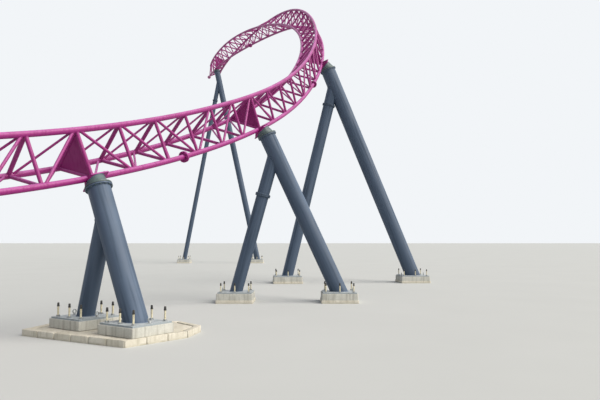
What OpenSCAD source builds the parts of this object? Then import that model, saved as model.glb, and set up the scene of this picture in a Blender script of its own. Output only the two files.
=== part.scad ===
// Climbing left turn of a roller coaster track on four leaning tubular supports.
// The track is a three-tube lattice truss: two running rails over one spine.
// Origin: on the ground under the first support. +Y leads away along the climb, +Z is up.

/* [Track] */
// Distance between the axes of the two running rails
gauge = 940; // [910:5:970]
// Distance from the plane of the rails to the axis of the spine
truss_depth = 780; // [755:5:815]
// Distance along the track between two cross frames
panel = 1030; // [1005:1:1032]
// Outside diameter of a running rail
rail_d = 114; // [100:1:125]
// Outside diameter of the spine
spine_d = 114; // [108:1:122]

/* [Lattice] */
// Diameter of the cross ties between the rails
tie_d = 82; // [70:1:90]
// Diameter of the posts from the spine up to the rails
post_d = 70; // [55:1:76]
// Diameter of the diagonals on the outer side
outer_diagonal_d = 57; // [45:1:60]
// Diameter of the diagonals between the rails and on the inner side
light_diagonal_d = 45; // [35:1:48]
// Distance along a tube from a frame to the end of a diagonal
joint_offset = 50; // [45:1:70]
// Thickness of the solid diaphragm plates above the supports
diaphragm_t = 20; // [10:1:30]

/* [Splices] */
// Diameter of a spine flange
splice_d = 250; // [235:5:265]
// Thickness of one spine flange
splice_t = 25; // [16:1:35]
// Number of bolt holes in a spine flange
splice_bolts = 8; // [6:1:12]
// Diameter of a bolt hole in a spine flange
splice_hole_d = 26; // [20:1:28]
// Diameter of the circle of bolt holes
splice_pcd = 190; // [180:5:205]

/* [Legs] */
// Diameter of the legs of the first support
leg_1_d = 410; // [380:5:430]
// Diameter of the legs of the second support
leg_2_d = 440; // [420:1:470]
// Diameter of the legs of the third support
leg_3_d = 555; // [520:5:580]
// Diameter of the legs of the fourth support
leg_4_d = 400; // [380:5:430]
// Diameter of a side leg as a share of its main leg
side_leg_share = 0.76; // [0.72:0.01:0.84]
// Diameter of a head as a share of its main leg
head_share = 0.94; // [0.88:0.01:0.97]
// How much wider a leg flange is than its leg
flange_rim = 75; // [60:5:95]
// Thickness of one leg flange
flange_t = 30; // [25:1:38]

/* [Heads] */
// Distance from the spine axis down the head to its joint, as a share of the leg's diameter
head_reach = 0.62; // [0.61:0.01:0.72]
// Distance from the spine axis to the underside of the saddle plate
saddle_drop = 110; // [105:5:120]
// Length of the saddle along the spine
saddle_l = 400; // [370:5:440]
// Thickness of the saddle plate and its cheeks
saddle_t = 25; // [18:1:30]

/* [Footings] */
// Thickness of a base plate
plate_t = 30; // [20:1:45]
// How far a plinth reaches past its base plate on each side
plate_margin = 30; // [15:1:60]
// Diameter of an anchor stud
stud_d = 36; // [30:1:42]
// Height of an anchor stud above its base plate
stud_h = 210; // [160:5:240]
// Distance of the studs from the edge of the base plate
stud_edge = 80; // [70:1:100]
// Width across the flats of an anchor nut
nut_w = 60; // [56:1:66]
// Height of an anchor nut
nut_h = 29; // [24:1:36]
// Diameter of the cap on an anchor stud
cap_d = 52; // [46:1:60]
// Height of the cap on an anchor stud
cap_h = 70; // [50:1:90]
// Height of the large slab under the first support
slab_h = 115; // [90:5:150]

/* [Hidden] */
$fn = 40;
// Gap where a coped end or a plate edge seats on a round tube
seat = 0.3;
// Radial play of a stud in its base plate
stud_play = 3;
// Sides of the swept tubes
sides = 12;
// Number of cross frames, counted from the near end
frames = 43;
// First frame of each length of track, and one past the last
LENGTHS = [0, 6, 15, 24, 33, 43];

// Guide points of the track: x, y, z, bank in degrees
GUIDE = [
    [-5890, -6530, 2120, 46],
    [-3110, -2860, 2460, 45.5],
    [-790, 790, 3300, 45],
    [1100, 4390, 4610, 40],
    [2540, 7880, 6170, 34.5],
    [3420, 11210, 8080, 40],
    [3740, 14380, 10080, 50.5],
    [3500, 17420, 11960, 63.5],
    [2760, 20420, 13420, 61.5],
    [1570, 23440, 14330, 42.5],
    [100, 26540, 14760, 16],
    [-1390, 29760, 14870, -10],
    [-2670, 33180, 14910, -26.5],
    [-3590, 36790, 15140, -38.5],
    [-4130, 40570, 15620, -46],
];
// Stretches of the curve, each drawn by four guide points in a row
stretches = len(GUIDE) - 3;

// Supports, one row each; the functions name the columns in their order
SUPPORTS = [
    [3, -35, 1255, -110, leg_1_d, 880, 155, 516, 0, false, 46],
    [9, 0, 2145, -610, leg_2_d, 950, 170, 507, 1210, true, 48],
    [17, 4, 3560, -1340, leg_3_d, 1100, 170, 611, 870, true, 48],
    [39, 0, 3065, -2165, leg_4_d, 900, 170, 702, 1500, true, 13],
];
// Cross frame that the support carries
function carried(s) = s[0];
// Turn of the plane of the legs about the vertical, in degrees
function turn(s) = s[1];
// Reach of the main leg and of the side leg from below the spine
function main_reach(s) = s[2];
function side_reach(s) = s[3];
// Diameter of the main leg
function leg_d(s) = s[4];
// Side and height of a plinth
function plinth_side(s) = s[5];
function plinth_h(s) = s[6];
// Distance down the main leg from the head's joint to the side leg's axis
function knee_drop(s) = s[7];
// Distance down the side leg from there to its bolted joint, 0 for none
function ring_drop(s) = s[8];
// True where each plinth stands on a small slab of its own
function own_slab(s) = s[9];
// Lean of the head from the vertical, in degrees
function head_lean(s) = s[10];
// Height of the small slabs and how far they reach past a plinth
small_slab_h = 80;
small_slab_rim = 15;
// Corners of the large slab under the first support
SLAB = [[-1530, 90], [-800, -330], [600, -1100], [1390, -120], [1500, 560], [1000, 1150], [-1250, 1250]];

// Path of the track: a smooth curve drawn by the guide points
function unit(v) = v / norm(v);
function weights(f) =
    [pow(1 - f, 3), 3 * pow(f, 3) - 6 * f * f + 4, 3 * f * (1 + f - f * f) + 1, pow(f, 3)] / 6;
function slopes(f) = [-pow(1 - f, 2), 3 * f * f - 4 * f, 1 + 2 * f - 3 * f * f, f * f] / 2;
function span(u) = min(floor(u), stretches - 1);
function blend(u, w) = w[0] * GUIDE[span(u)] + w[1] * GUIDE[span(u) + 1] + w[2] * GUIDE[span(u) + 2]
    + w[3] * GUIDE[span(u) + 3];
function xyz(p) = [p[0], p[1], p[2]];
function curve(u) = blend(u, weights(u - span(u)));
function heading(u) = unit(xyz(blend(u, slopes(u - span(u)))));

// Length along the path, tabled against the curve's own parameter
step = 0.1;
steps = stretches / step;
ARC = [
    for (i = 0, s = 0; i <= steps; s = s + norm(xyz(curve((i + 1) * step) - curve(i * step))), i = i + 1)
        [s, i * step]
];
function at_length(s) = lookup(s, ARC);

// Half panels: half = 2i is a quarter panel before frame i, half = 2i + 1 a quarter panel after it.
// The near end lies half a panel along the path and frame 0 one panel along it.
lead = 0.75;
function length_at(half) = (half / 2 + lead) * panel;

// Banked axes at a point of the path: centre, towards the outer rail, up out of the rails
function axes(half) =
    let (u = at_length(length_at(half)), p = curve(u), t = heading(u), level = unit(cross(t, [0, 0, 1])),
        up = cross(level, t), a = p[3])
    [xyz(p), level * cos(a) + up * sin(a), up * cos(a) - level * sin(a)];

// Tubes: 0 is the outer rail, 1 the inner rail, 2 the spine
TUBE = [[gauge / 2, 0], [-gauge / 2, 0], [0, -truss_depth]];
tube_d = [rail_d, rail_d, spine_d];
AXES = [for (half = [-2:2 * frames + 1]) axes(half)];
function at_half(half) = AXES[half + 2];
function tube_centre(tube, half) =
    let (a = at_half(half)) a[0] + a[1] * TUBE[tube][0] + a[2] * TUBE[tube][1];
function tube_ring(tube, half) =
    let (t = unit(tube_centre(tube, half + 1) - tube_centre(tube, half - 1)), l = at_half(half)[1],
        x = unit(l - (l * t) * t), y = cross(x, t), c = tube_centre(tube, half), r = tube_d[tube] / 2)
    [for (i = [0:sides - 1]) c + r * (x * cos(360 * i / sides) + y * sin(360 * i / sides))];
function middle(a, b) = (a + b) / 2;

// A frame's point on a tube and the tube's direction there
function joint(tube, i) = middle(tube_centre(tube, 2 * i), tube_centre(tube, 2 * i + 1));
function run(tube, i) = unit(tube_centre(tube, 2 * i + 1) - tube_centre(tube, 2 * i));
// The same half a panel before frame i, where two lengths of track meet
function splice(tube, i) = middle(tube_centre(tube, 2 * i - 1), tube_centre(tube, 2 * i));
function splice_run(tube, i) = unit(tube_centre(tube, 2 * i) - tube_centre(tube, 2 * i - 1));

// Puts children at p with their Z along z and their X near x
module place(p, z, x = [0, 0, 1]) {
    zz = unit(z);
    yy = unit(cross(zz, x));
    xx = cross(yy, zz);
    multmatrix([
        [xx[0], yy[0], zz[0], p[0]],
        [xx[1], yy[1], zz[1], p[1]],
        [xx[2], yy[2], zz[2], p[2]],
    ]) children();
}

// Round bar between two points
module bar(a, b, d) {
    place(a, b - a, [1, 2, 3]) cylinder(h = norm(b - a), d = d);
}

// Space that a tube takes up around a joint, with the seat
module tube_space(p, direction, d) {
    reach = 320;
    bar(p - reach * direction, p + reach * direction, d + 2 * seat);
}

// Tube swept along the track from half a panel before frame a to half a panel before frame b
module swept_tube(tube, a, b) {
    n = sides;
    near = middle(tube_ring(tube, 2 * a - 1), tube_ring(tube, 2 * a));
    far = middle(tube_ring(tube, 2 * b - 1), tube_ring(tube, 2 * b));
    rings = concat([near], [for (half = [2 * a:2 * b - 1]) tube_ring(tube, half)], [far]);
    last = len(rings) - 1;
    sides = [
        for (k = [0:last - 1], i = [0:n - 1], face = [0, 1])
            let (p = k * n + i, q = k * n + (i + 1) % n)
            face == 0 ? [p, p + n, q + n] : [p, q + n, q]
    ];
    ends = [[for (i = [0:n - 1]) i], [for (i = [n - 1:-1:0]) last * n + i]];
    polyhedron([for (r = rings, p = r) p], concat(sides, ends));
}

module paint() {
    color("#b8418c") children();
}

module rails(k) {
    paint() {
        swept_tube(0, LENGTHS[k - 1], LENGTHS[k]);
        swept_tube(1, LENGTHS[k - 1], LENGTHS[k]);
    }
}

module spine(k) {
    paint() swept_tube(2, LENGTHS[k - 1], LENGTHS[k]);
}

// Cross tie between the rails
module tie_bar(i) {
    bar(joint(0, i), joint(1, i), tie_d);
}

module tie(i) {
    difference() {
        tie_bar(i);
        for (tube = [0, 1]) tube_space(joint(tube, i), run(tube, i), tube_d[tube]);
    }
}

// Post from the spine to a rail, coped onto both tubes, the tie and, for the inner one, the outer post
module post(i, tube) {
    difference() {
        bar(joint(2, i), joint(tube, i), post_d);
        tube_space(joint(2, i), run(2, i), spine_d);
        tube_space(joint(tube, i), run(tube, i), rail_d);
        bar(joint(0, i), joint(1, i), tie_d + 2 * seat);
        if (tube == 1) bar(joint(2, i), joint(0, i), post_d + 2 * seat);
    }
}

module cross_frames(k) {
    paint() for (i = [LENGTHS[k - 1]:LENGTHS[k] - 1]) {
        tie(i);
        post(i, 0);
        post(i, 1);
    }
}

// Diagonal from one tube at frame i to another at frame i + 1
module diagonal(from, to, i, d) {
    a = joint(from, i) + joint_offset * run(from, i);
    b = joint(to, i + 1) - joint_offset * run(to, i + 1);
    difference() {
        bar(a, b, d);
        tube_space(a, run(from, i), tube_d[from]);
        tube_space(b, run(to, i + 1), tube_d[to]);
    }
}

// The outer diagonals lean up towards the nearest support
function supports_before(i) = [for (s = SUPPORTS) if (carried(s) <= i) carried(s)];
function supports_after(i) = [for (s = SUPPORTS) if (carried(s) > i) carried(s)];
function falls_away(i) =
    let (before = supports_before(i), after = supports_after(i))
    len(after) == 0 ? true : len(before) == 0 ? false : i - before[len(before) - 1] < after[0] - i - 1;

module diagonals(k) {
    last = min(LENGTHS[k], frames - 1);
    paint() for (i = [LENGTHS[k - 1]:last - 1]) {
        diagonal(1, 0, i, light_diagonal_d);
        diagonal(2, 1, i, light_diagonal_d);
        if (falls_away(i)) diagonal(0, 2, i, outer_diagonal_d);
        else diagonal(2, 0, i, outer_diagonal_d);
    }
}

// One drilled flange on the spine; side = 1 lies ahead of the joint, -1 behind it
module splice_flange(i, side) {
    t = splice_run(2, i);
    place(splice(2, i) + ((side - 1) / 2 * splice_t + side * seat) * t, t) difference() {
        cylinder(h = splice_t, d = splice_d);
        translate([0, 0, -1]) cylinder(h = splice_t + 2, d = spine_d + 2 * seat);
        for (n = [0:splice_bolts - 1])
            rotate(360 * n / splice_bolts)
                translate([splice_pcd / 2, 0, -1]) cylinder(h = splice_t + 2, d = splice_hole_d);
    }
}

module splice_flanges() {
    paint() for (n = [0:len(LENGTHS) - 1]) {
        if (n > 0) splice_flange(LENGTHS[n], -1);
        if (n < len(LENGTHS) - 1) splice_flange(LENGTHS[n], 1);
    }
}

// Triangular plate that closes the frame above a support
module diaphragm(i) {
    o = joint(0, i);
    c = joint(1, i);
    s = joint(2, i);
    across = unit(o - c);
    normal = unit(cross(across, s - c));
    down = cross(normal, across);
    // corners in the plate's plane, measured from the inner rail
    wide = norm(o - c);
    apex = [(s - c) * across, (s - c) * down];
    tie_gap = tie_d / 2 + seat;
    post_gap = post_d / 2 + seat;
    place(c - diaphragm_t / 2 * normal, normal, across) difference() {
        linear_extrude(diaphragm_t) intersection() {
            inset_side([0, 0], [wide, 0], tie_gap);
            inset_side([wide, 0], apex, post_gap);
            inset_side(apex, [0, 0], post_gap);
        }
        translate([apex[0], apex[1], -diaphragm_t]) cylinder(h = 3 * diaphragm_t, d = spine_d + 2 * seat);
    }
}

// Half plane to the left of the line a-b, moved in by a gap
module inset_side(a, b, gap) {
    far = 3 * gauge;
    translate(a) rotate(atan2(b[1] - a[1], b[0] - a[0])) translate([-far, gap]) square([3 * far, far]);
}

module diaphragms() {
    paint() for (s = SUPPORTS) diaphragm(carried(s));
}

// Places on a support: spine point, feet and the joint of its side leg
function crown(s) = joint(2, carried(s));
function foot_z(s) = (own_slab(s) ? small_slab_h : slab_h) + plinth_h(s) + plate_t;
function foot(s, reach) =
    [crown(s)[0] + reach * cos(turn(s)), crown(s)[1] + reach * sin(turn(s)), foot_z(s)];
function head_up(s) =
    [-sin(head_lean(s)) * cos(turn(s)), -sin(head_lean(s)) * sin(turn(s)), cos(head_lean(s))];
function leg_top(s) = crown(s) - head_reach * leg_d(s) * head_up(s);
function lean(s) = unit(leg_top(s) - foot(s, main_reach(s)));
function knee(s) = leg_top(s) - knee_drop(s) * lean(s);
function side_lean(s) = unit(knee(s) - foot(s, side_reach(s)));
function seat_up(s) = let (t = run(2, carried(s)), d = head_up(s)) unit(d - (d * t) * t);

// Tube from below a foot up to a point, cut flat on the base plate
module leg_tube(s, from, to, d) {
    direction = unit(to - from);
    difference() {
        bar(from - d * direction, to, d);
        translate([from[0] - 2 * d, from[1] - 2 * d, from[2] - 4 * d]) cube(4 * d);
    }
}

module steel() {
    color("#5f6d78") children();
}

// Main leg with the flange of its head joint
module main_leg(n) {
    s = SUPPORTS[n - 1];
    steel() {
        leg_tube(s, foot(s, main_reach(s)), leg_top(s), leg_d(s));
        place(leg_top(s) - flange_t * lean(s), lean(s)) cylinder(h = flange_t, d = leg_d(s) + flange_rim);
    }
}

// Side leg, coped onto the main leg, with the pair of flanges of its own joint
module side_leg(n) {
    s = SUPPORTS[n - 1];
    d = side_leg_share * leg_d(s);
    steel() {
        difference() {
            leg_tube(s, foot(s, side_reach(s)), knee(s), d);
            bar(foot(s, main_reach(s)), leg_top(s), leg_d(s) + 2 * seat);
        }
        if (ring_drop(s) > 0)
            place(knee(s) - (ring_drop(s) + flange_t) * side_lean(s), side_lean(s))
                cylinder(h = 2 * flange_t, d = d + flange_rim);
    }
}

// Half space ahead of p along a direction, wide enough for a leg
module beyond(s, p, direction, x) {
    place(p, direction, x) translate([-2 * leg_d(s), -2 * leg_d(s), 0]) cube(4 * leg_d(s));
}

// Head: a flange on the leg's own and a stub that bends up to the saddle
module head(n) {
    s = SUPPORTS[n - 1];
    face = leg_top(s) + seat * lean(s);
    steel() {
        place(face, lean(s)) cylinder(h = flange_t, d = leg_d(s) + flange_rim);
        difference() {
            bar(leg_top(s) - leg_d(s) * head_up(s), crown(s), head_share * leg_d(s));
            beyond(s, face + flange_t / 2 * lean(s), -lean(s), [0, 0, 1]);
            beyond(s, crown(s) - (saddle_drop + seat) * seat_up(s), seat_up(s), run(2, carried(s)));
        }
    }
}

// Saddle: a plate across the top of the head with ribs coped to the underside of the spine
module saddle(s) {
    up = seat_up(s);
    rib_w = spine_d + 2 * saddle_t;
    rib_h = saddle_drop - spine_d / 4;
    rib_x = saddle_l / 3;
    place(crown(s) - saddle_drop * up, up, run(2, carried(s))) difference() {
        union() {
            translate([-saddle_l / 2, -leg_d(s) / 2, 0]) cube([saddle_l, leg_d(s), saddle_t]);
            for (x = [-rib_x, rib_x])
                translate([x - saddle_t / 2, -rib_w / 2, 0]) cube([saddle_t, rib_w, rib_h]);
            translate([-rib_x, -saddle_t / 2, 0]) cube([2 * rib_x, saddle_t, rib_h]);
        }
        translate([-saddle_l, 0, saddle_drop]) rotate([0, 90, 0])
            cylinder(h = 2 * saddle_l, d = spine_d + 2 * seat);
    }
}

module saddles() {
    paint() for (s = SUPPORTS) saddle(s);
}

// Runs its children at both feet of a support, turned to the leg plane
module at_feet(s, z) {
    for (reach = [main_reach(s), side_reach(s)]) {
        p = foot(s, reach);
        translate([p[0], p[1], z]) rotate(turn(s)) children();
    }
}

function plate_side(s) = plinth_side(s) - 2 * plate_margin;

// Places of the studs of one base plate
function stud_places(s) =
    let (e = plate_side(s) / 2 - stud_edge) [for (x = [-e, 0, e], y = [-e, e]) [x, y]];

module base_plates(n) {
    s = SUPPORTS[n - 1];
    color("#9aa3a8") at_feet(s, foot_z(s) - plate_t) difference() {
        linear_extrude(plate_t) square(plate_side(s), center = true);
        for (p = stud_places(s))
            translate([p[0], p[1], -1]) cylinder(h = plate_t + 2, d = stud_d + 2 * stud_play);
    }
}

// Stud with its nut and its cap
module anchors(n) {
    s = SUPPORTS[n - 1];
    color("#d8d4c4") at_feet(s, foot_z(s)) for (p = stud_places(s)) translate([p[0], p[1], 0]) {
        translate([0, 0, -plate_t]) cylinder(h = plate_t + stud_h, d = stud_d);
        linear_extrude(nut_h) circle(d = nut_w / cos(30), $fn = 6);
        translate([0, 0, stud_h - cap_h / 2]) cylinder(h = cap_h, d = cap_d);
    }
}

module plinths(n) {
    s = SUPPORTS[n - 1];
    color("#b9b6ad") at_feet(s, foot_z(s) - plate_t - plinth_h(s))
        linear_extrude(plinth_h(s)) square(plinth_side(s), center = true);
}

module slabs() {
    color("#cfc9b8") {
        linear_extrude(slab_h) polygon(SLAB);
        for (s = SUPPORTS)
            if (own_slab(s)) at_feet(s, 0)
                linear_extrude(small_slab_h) square(plinth_side(s) + 2 * small_slab_rim, center = true);
    }
}

for (k = [1:5]) {
    rails(k);
    spine(k);
    cross_frames(k);
    diagonals(k);
}
splice_flanges();
diaphragms();
saddles();
for (n = [1:4]) {
    main_leg(n);
    side_leg(n);
    head(n);
    base_plates(n);
    anchors(n);
    plinths(n);
}
slabs();
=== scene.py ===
import math

import bmesh
import bpy
import numpy as np
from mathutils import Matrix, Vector, noise


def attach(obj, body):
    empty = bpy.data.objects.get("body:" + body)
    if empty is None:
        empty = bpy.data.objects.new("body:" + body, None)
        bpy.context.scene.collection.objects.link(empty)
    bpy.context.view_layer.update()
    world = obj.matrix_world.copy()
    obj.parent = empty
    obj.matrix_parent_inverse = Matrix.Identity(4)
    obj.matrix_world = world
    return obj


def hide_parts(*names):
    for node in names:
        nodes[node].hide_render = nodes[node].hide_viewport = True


# A climbing left turn of roller coaster track on four leaning supports, all sizes in metres
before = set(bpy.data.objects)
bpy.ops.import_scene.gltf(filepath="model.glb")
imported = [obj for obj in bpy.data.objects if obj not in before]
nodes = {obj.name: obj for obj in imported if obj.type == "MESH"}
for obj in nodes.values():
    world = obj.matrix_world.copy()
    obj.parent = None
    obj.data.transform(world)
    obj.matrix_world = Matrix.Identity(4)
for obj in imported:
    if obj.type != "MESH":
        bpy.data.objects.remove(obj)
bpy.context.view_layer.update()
scene = bpy.context.scene


# Camera
# A standing person's eye height, looking slightly up at the turn from beside its low end.
# The lens and the tilt put the horizon and the vanishing lines where the photograph has them.
EYE = (3.28, -10.40, 1.65)
TILT = math.radians(3.814)
LENS = 36
SENSOR = 36

camera_data = bpy.data.cameras.new("eye_level_camera")
camera_data.lens = LENS
camera_data.sensor_width = SENSOR
camera_data.clip_end = 500
camera = bpy.data.objects.new("eye_level_camera", camera_data)
camera.location = EYE
camera.rotation_euler = (math.pi / 2 + TILT, 0, 0)
scene.collection.objects.link(camera)
scene.camera = camera


# Running rails
# Two seamless steel tubes rolled to the banked line of the turn, in lengths that butt at the spine's
# flanges. They are shot blasted, primed and sprayed with a magenta two-pack polyurethane gloss.
GAUGE = 0.940
TRUSS_DEPTH = 0.780
# cross frames lie a panel apart
PANEL = 1.030
FRAMES = 43
# first frame of each length of track, and one past the last frame
LENGTHS = [0, 6, 15, 24, 33, 43]
RAIL_R = 0.057
RAIL_WALL = 0.010
SPINE_R = 0.057
# guide points of the track: x, y, z in metres and bank in degrees
GUIDE = np.array([
    [-5.89, -6.53, 2.12, 46.0],
    [-3.11, -2.86, 2.46, 45.5],
    [-0.79, 0.79, 3.30, 45.0],
    [1.10, 4.39, 4.61, 40.0],
    [2.54, 7.88, 6.17, 34.5],
    [3.42, 11.21, 8.08, 40.0],
    [3.74, 14.38, 10.08, 50.5],
    [3.50, 17.42, 11.96, 63.5],
    [2.76, 20.42, 13.42, 61.5],
    [1.57, 23.44, 14.33, 42.5],
    [0.10, 26.54, 14.76, 16.0],
    [-1.39, 29.76, 14.87, -10.0],
    [-2.67, 33.18, 14.91, -26.5],
    [-3.59, 36.79, 15.14, -38.5],
    [-4.13, 40.57, 15.62, -46.0],
])
SPANS = len(GUIDE) - 3
# steps in which the curve is measured
TABLE_STEPS = 10 * SPANS
# the first frame lies one panel along the curve, so a quarter panel before it is three quarters
LEAD = 0.75
# a spare frame's two quarter points are worked out before the first frame and after the last
FIRST_HALF, LAST_HALF = -2, 2 * FRAMES + 1


def unit(v):
    """Direction of a vector."""
    return np.asarray(v) / np.linalg.norm(v)


def on_curve(u):
    """Point with bank, and heading, of the smooth curve that the guide points draw."""
    k = min(int(u), len(GUIDE) - 4)
    f = u - k
    near = GUIDE[k:k + 4]
    share = np.array([(1 - f) ** 3, 3 * f ** 3 - 6 * f * f + 4, 3 * f * (1 + f - f * f) + 1, f ** 3]) / 6
    slope = np.array([-(1 - f) ** 2, 3 * f * f - 4 * f, 1 + 2 * f - 3 * f * f, f * f]) / 2
    return share @ near, unit(slope @ near[:, :3])


table_u = np.arange(TABLE_STEPS + 1) * SPANS / TABLE_STEPS
table_points = np.array([on_curve(u)[0][:3] for u in table_u])
table_length = np.concatenate([[0], np.cumsum(np.linalg.norm(np.diff(table_points, axis=0), axis=1))])


def banked_axes(half):
    """Centre, outward and upward directions a quarter panel before (even) or after (odd) a frame."""
    length = (half / 2 + LEAD) * PANEL
    at, ahead = on_curve(np.interp(length, table_length, table_u))
    level = unit(np.cross(ahead, [0, 0, 1]))
    up = np.cross(level, ahead)
    bank = math.radians(at[3])
    outward = level * math.cos(bank) + up * math.sin(bank)
    upward = up * math.cos(bank) - level * math.sin(bank)
    return np.array([at[:3], outward, upward])


HALVES = np.array([banked_axes(half) for half in range(FIRST_HALF, LAST_HALF + 1)])
OUTER, INNER, SPINE = 0, 1, 2
# how far each tube lies outward and upward of the middle of the rails
OFFSETS = [(GAUGE / 2, 0), (-GAUGE / 2, 0), (0, -TRUSS_DEPTH)]
TUBE_R = [RAIL_R, RAIL_R, SPINE_R]


def axes(half):
    """Row of HALVES that belongs to a quarter point."""
    return HALVES[half - FIRST_HALF]


def centre(tube, half):
    """Point of a tube's axis a quarter panel before or after a frame."""
    at, outward, upward = axes(half)
    return at + outward * OFFSETS[tube][0] + upward * OFFSETS[tube][1]


def splice(tube, i):
    """Point of a tube's axis half a panel before frame i, where two lengths of track can meet."""
    return (centre(tube, 2 * i - 1) + centre(tube, 2 * i)) / 2


def bent_line(tube, a, b, steps):
    """Points and outward directions along a tube between two splices, tangent to the straight joints."""
    points, outs = [], []
    for half in range(2 * a, 2 * b):
        c = [centre(tube, half + k) for k in (-1, 0, 1)]
        o = [axes(half + k)[1] for k in (-1, 0, 1)]
        for t in np.arange(steps) / steps:
            w = ((1 - t) ** 2 / 2, ((1 - t) ** 2 + t * t) / 2 + 2 * t * (1 - t), t * t / 2)
            points.append(sum(k * v for k, v in zip(w, c)))
            outs.append(sum(k * v for k, v in zip(w, o)))
    points.append(splice(tube, b))
    outs.append((axes(2 * b - 1)[1] + axes(2 * b)[1]) / 2)
    return np.array(points), np.array(outs)


def unit_ring(ahead, outward, sides):
    """Unit circle square to a direction, its first point to the outside of the turn."""
    ahead = unit(ahead)
    x = unit(outward - (outward @ ahead) * ahead)
    angle = 2 * np.pi * np.arange(sides) / sides
    return np.outer(np.cos(angle), x) + np.outer(np.sin(angle), np.cross(x, ahead))


def skin(mesh, rings, closed=False):
    """Adds faces between rings, and on both ends, to a mesh: a pair of lists of points and faces."""
    points, faces = mesh
    first = len(points)
    sides = len(rings[0])
    for ring in rings:
        points.extend(map(tuple, ring))
    count = len(rings)
    for k in range(count if closed else count - 1):
        a = first + k * sides
        b = first + (k + 1) % count * sides
        for i in range(sides):
            j = (i + 1) % sides
            faces.append((a + i, a + j, b + j, b + i))
    if not closed:
        faces.append(tuple(range(first + sides - 1, first - 1, -1)))
        faces.append(tuple(range(first + (count - 1) * sides, first + count * sides)))


def make_piece(name, mesh, material, replaced=(), crease=35):
    """Makes a piece, smooth up to an angle, that rides on the one body and stands for some solids."""
    data = bpy.data.meshes.new(name)
    data.from_pydata(mesh[0], [], mesh[1])
    data.validate()
    turn_faces_out(data)
    data.polygons.foreach_set("use_smooth", [True] * len(data.polygons))
    data.set_sharp_from_angle(angle=math.radians(crease))
    data.materials.append(material)
    piece = bpy.data.objects.new(name, data)
    scene.collection.objects.link(piece)
    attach(piece, "root")
    if replaced:
        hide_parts(*replaced)
    return piece


def turn_faces_out(data):
    """Makes the faces of a mesh agree on their outer side."""
    bm = bmesh.new()
    bm.from_mesh(data)
    bmesh.ops.recalc_face_normals(bm, faces=bm.faces)
    bm.to_mesh(data)
    bm.free()


def linear(colour):
    """Linear RGBA of an sRGB hex colour."""
    channels = [int(colour[k:k + 2], 16) / 255 for k in (1, 3, 5)]
    return [c / 12.92 if c <= 0.04045 else ((c + 0.055) / 1.055) ** 2.4 for c in channels] + [1]


def add(material, kind, inputs=None, **settings):
    """Adds a node with its settings, and its inputs' values or links."""
    made = material.node_tree.nodes.new(kind)
    for key, value in settings.items():
        setattr(made, key, value)
    for key, value in (inputs or {}).items():
        if isinstance(value, bpy.types.NodeSocket):
            material.node_tree.links.new(value, made.inputs[key])
        else:
            made.inputs[key].default_value = value
    return made


def blank_material(name):
    """Material with no nodes yet."""
    material = bpy.data.materials.new(name)
    material.use_nodes = True
    material.node_tree.nodes.clear()
    return material


def finish_material(material, shader):
    """Joins a shader to the material's surface."""
    add(material, "ShaderNodeOutputMaterial", {"Surface": shader.outputs[0]})
    return material


def mm(size):
    """Noise scale, in cells a metre, of a pattern with a real size in millimetres."""
    return 1000 / size


# specks of dust, and the orange peel of sprayed paint, which is about 3 mm and drawn coarser to show
DUST_MM = 9
PEEL_MM = 14
# how much longer than wide a rain streak is
STREAK_STRETCH = 25


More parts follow.
